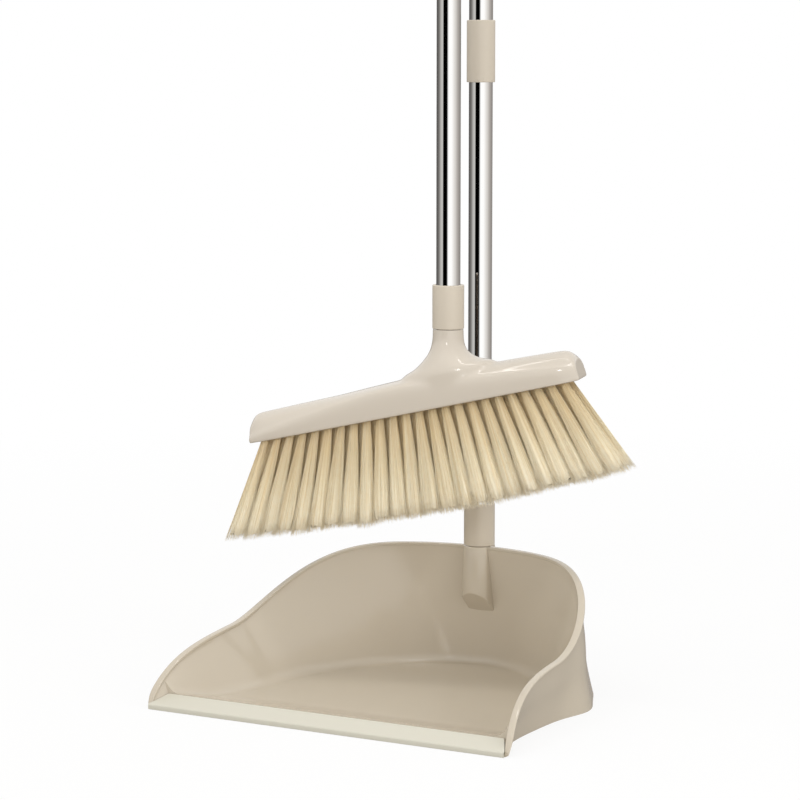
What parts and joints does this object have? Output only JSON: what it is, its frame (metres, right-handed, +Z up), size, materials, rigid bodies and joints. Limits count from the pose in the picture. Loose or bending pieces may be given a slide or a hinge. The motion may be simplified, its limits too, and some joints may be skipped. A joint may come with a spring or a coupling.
{
  "type": "dust pan and broom set",
  "caption": "Upright dust pan with a bowl-shaped back and soft lip on a jointed chromed pole, with an angled long-bristle broom clipped to the pole.",
  "frame": {"origin": "on the flat underside of the pan, on the pan's plane of symmetry, 130 mm behind the lip's front edge", "axes": "+Z up along both poles, the pan's lip and its open side face -Y, +X to the right seen from the lip"},
  "size_m": [0.3281, 0.267, 1.085],
  "materials": {
    "pan_plastic": "gloss",
    "lip_rubber": "satin",
    "fitting_plastic": "satin",
    "grip_plastic": "satin",
    "head_plastic": "gloss",
    "block_plastic": "matte",
    "plug_plastic": "matte",
    "chrome_tube": "polished",
    "bristle": "matte"
  },
  "bodies": {
    "pan": {"pan_body": "pan_plastic", "pan_lip": "lip_rubber"},
    "pan_lower_handle": {"pan_collar": "fitting_plastic", "pan_socket_plug": "plug_plastic", "pan_lower_tube": "chrome_tube", "pan_coupler": "fitting_plastic"},
    "pan_upper_handle": {"pan_coupler_plug": "plug_plastic", "pan_upper_tube": "chrome_tube", "pan_grip": "grip_plastic"},
    "clip": {"broom_clip": "fitting_plastic"},
    "broom_lower_handle": {"broom_collar": "fitting_plastic", "broom_neck_plug": "plug_plastic", "broom_lower_tube": "chrome_tube", "broom_coupler": "fitting_plastic"},
    "broom_upper_handle": {"broom_coupler_plug": "plug_plastic", "broom_upper_tube": "chrome_tube", "broom_grip": "grip_plastic"},
    "broom_head": {"head_shell": "head_plastic", "tuft_block": "block_plastic", "tuft_row_1": "bristle", "tuft_row_2": "bristle", "tuft_row_3": "bristle", "tuft_row_4": "bristle"}
  },
  "joints": [
    {"name": "pan_handle_unscrew", "type": "hinge", "parent": "pan", "child": "pan_lower_handle", "pos_m": [0, 0.117, 0.1034], "axis": [0, 0, 1], "range_deg": [0, 900]},
    {"name": "pan_pole_unscrew", "type": "hinge", "parent": "pan_lower_handle", "child": "pan_upper_handle", "pos_m": [0, 0.117, 0.5], "axis": [0, 0, 1], "range_deg": [0, 900]},
    {"name": "clip_height", "type": "slide", "parent": "pan_upper_handle", "child": "clip", "axis": [0, 0, 1], "range_m": [-0.004, 0.12]},
    {"name": "broom_unclip", "type": "slide", "parent": "clip", "child": "broom_lower_handle", "axis": [0, -1, 0], "range_m": [0, 0.3]},
    {"name": "broom_pole_unscrew", "type": "hinge", "parent": "broom_lower_handle", "child": "broom_upper_handle", "pos_m": [0, 0.064, 0.682], "axis": [0, 0, 1], "range_deg": [0, 900]},
    {"name": "broom_head_turn", "type": "hinge", "parent": "broom_lower_handle", "child": "broom_head", "pos_m": [0, 0.064, 0.2835], "axis": [0, 0, 1], "range_deg": [-30, 0]}
  ]
}
